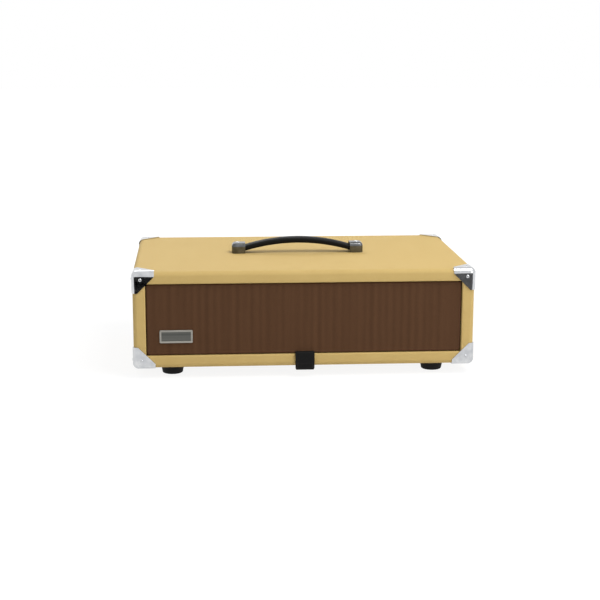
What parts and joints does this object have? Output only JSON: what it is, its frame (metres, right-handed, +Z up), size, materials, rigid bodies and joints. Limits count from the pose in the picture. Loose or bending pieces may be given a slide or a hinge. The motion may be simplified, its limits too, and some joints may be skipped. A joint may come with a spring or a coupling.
{
  "type": "guitar amp head",
  "caption": "Low cloth-covered guitar amp head with a pull-off woven grille cover over its controls, metal corners, a strap handle and rubber feet.",
  "frame": {"origin": "on the floor under the middle of the box", "axes": "+X to the right seen from the front, along the box; +Y to the back; +Z up; the grille faces -Y"},
  "size_m": [0.5736, 0.3708, 0.2092],
  "materials": {
    "covered_board": "plywood under woven tan tweed cloth",
    "tweed_covering": "woven tan tweed cloth with a thin lacquer",
    "chrome": "polished",
    "black_rubber": "matte",
    "black_leather": "satin",
    "grille_cloth": "matte",
    "bare_wood": "matte",
    "black_wood": "matte",
    "badge_metal": "satin",
    "plated_steel": "satin",
    "face_plate_paint": "satin",
    "guard_paint": "satin",
    "cream_knob": "gloss",
    "transformer_iron": "satin",
    "valve_glass": "gloss",
    "socket_ceramic": "satin",
    "capacitor_can": "satin",
    "circuit_board": "matte",
    "black_nylon": "satin",
    "red_jewel": "gloss",
    "panel_print": "satin"
  },
  "bodies": {
    "cabinet": {"top_board": "covered_board", "bottom_board": "covered_board", "left_side_board": "covered_board", "right_side_board": "covered_board", "corner_front_bottom_left": "chrome", "corner_front_bottom_right": "chrome", "corner_front_top_left": "chrome", "corner_front_top_right": "chrome", "corner_rear_bottom_left": "chrome", "corner_rear_bottom_right": "chrome", "corner_rear_top_left": "chrome", "corner_rear_top_right": "chrome", "foot_front_left": "black_rubber", "foot_front_right": "black_rubber", "foot_rear_left": "black_rubber", "foot_rear_right": "black_rubber", "front_batten_left": "black_wood", "handle_cap_left": "chrome", "front_batten_right": "black_wood", "handle_cap_right": "chrome", "face_plate": "face_plate_paint", "chassis": "plated_steel", "rear_guard": "guard_paint", "circuit_board": "circuit_board", "power_transformer": "transformer_iron", "output_transformer": "transformer_iron", "filter_capacitor": "capacitor_can", "preamp_valve_1": "valve_glass", "preamp_valve_1_socket": "socket_ceramic", "preamp_valve_2": "valve_glass", "preamp_valve_2_socket": "socket_ceramic", "power_valve_1": "valve_glass", "power_valve_1_socket": "socket_ceramic", "power_valve_2": "valve_glass", "power_valve_2_socket": "socket_ceramic", "volume_pot": "plated_steel", "treble_pot": "plated_steel", "bass_pot": "plated_steel", "master_pot": "plated_steel", "input_jack_high": "black_nylon", "input_jack_low": "black_nylon", "standby_switch": "plated_steel", "power_switch": "plated_steel", "pilot_lamp": "red_jewel", "speaker_jack": "black_nylon", "fuse_holder": "black_nylon", "mains_inlet": "black_nylon"},
    "grille_cover": {"grille_board": "black_wood", "grille_cloth": "grille_cloth", "badge_plate": "badge_metal", "pull_tab_root": "black_leather"},
    "pull_tab": {"pull_tab": "black_leather"},
    "handle_strap": {"handle_strap": "black_leather"},
    "volume_knob": {"volume_knob": "cream_knob"},
    "treble_knob": {"treble_knob": "cream_knob"},
    "bass_knob": {"bass_knob": "cream_knob"},
    "master_knob": {"master_knob": "cream_knob"},
    "standby_lever": {"standby_lever": "chrome"},
    "power_lever": {"power_lever": "chrome"},
    "fuse_cap": {"fuse_cap": "black_nylon"}
  },
  "joints": [
    {"name": "grille_cover_pull", "type": "slide", "parent": "cabinet", "child": "grille_cover", "axis": [0, -1, 0], "range_m": [0, 0.07]},
    {"name": "pull_tab_lift", "type": "hinge", "parent": "grille_cover", "child": "pull_tab", "pos_m": [0, -0.1825, 0.0434], "axis": [-1, 0, 0], "range_deg": [0, 95]},
    {"name": "handle_lift", "type": "slide", "parent": "cabinet", "child": "handle_strap", "axis": [0, 0, 1], "range_m": [0, 0.002]},
    {"name": "volume_turn", "type": "hinge", "parent": "cabinet", "child": "volume_knob", "pos_m": [-0.115, -0.148, 0.0623], "axis": [0, 1, 0], "range_deg": [-150, 150]},
    {"name": "treble_turn", "type": "hinge", "parent": "cabinet", "child": "treble_knob", "pos_m": [-0.055, -0.148, 0.0623], "axis": [0, 1, 0], "range_deg": [-150, 150]},
    {"name": "bass_turn", "type": "hinge", "parent": "cabinet", "child": "bass_knob", "pos_m": [0.005, -0.148, 0.0623], "axis": [0, 1, 0], "range_deg": [-150, 150]},
    {"name": "master_turn", "type": "hinge", "parent": "cabinet", "child": "master_knob", "pos_m": [0.065, -0.148, 0.0623], "axis": [0, 1, 0], "range_deg": [-150, 150]},
    {"name": "standby_flip", "type": "hinge", "parent": "cabinet", "child": "standby_lever", "pos_m": [0.17, -0.1525, 0.0623], "axis": [-1, 0, 0], "range_deg": [0, 28]},
    {"name": "power_flip", "type": "hinge", "parent": "cabinet", "child": "power_lever", "pos_m": [0.215, -0.1525, 0.0623], "axis": [-1, 0, 0], "range_deg": [0, 28]},
    {"name": "fuse_cap_twist", "type": "hinge", "parent": "cabinet", "child": "fuse_cap", "pos_m": [0.135, 0.1565, 0.0623], "axis": [0, 1, 0], "range_deg": [0, 60]}
  ]
}
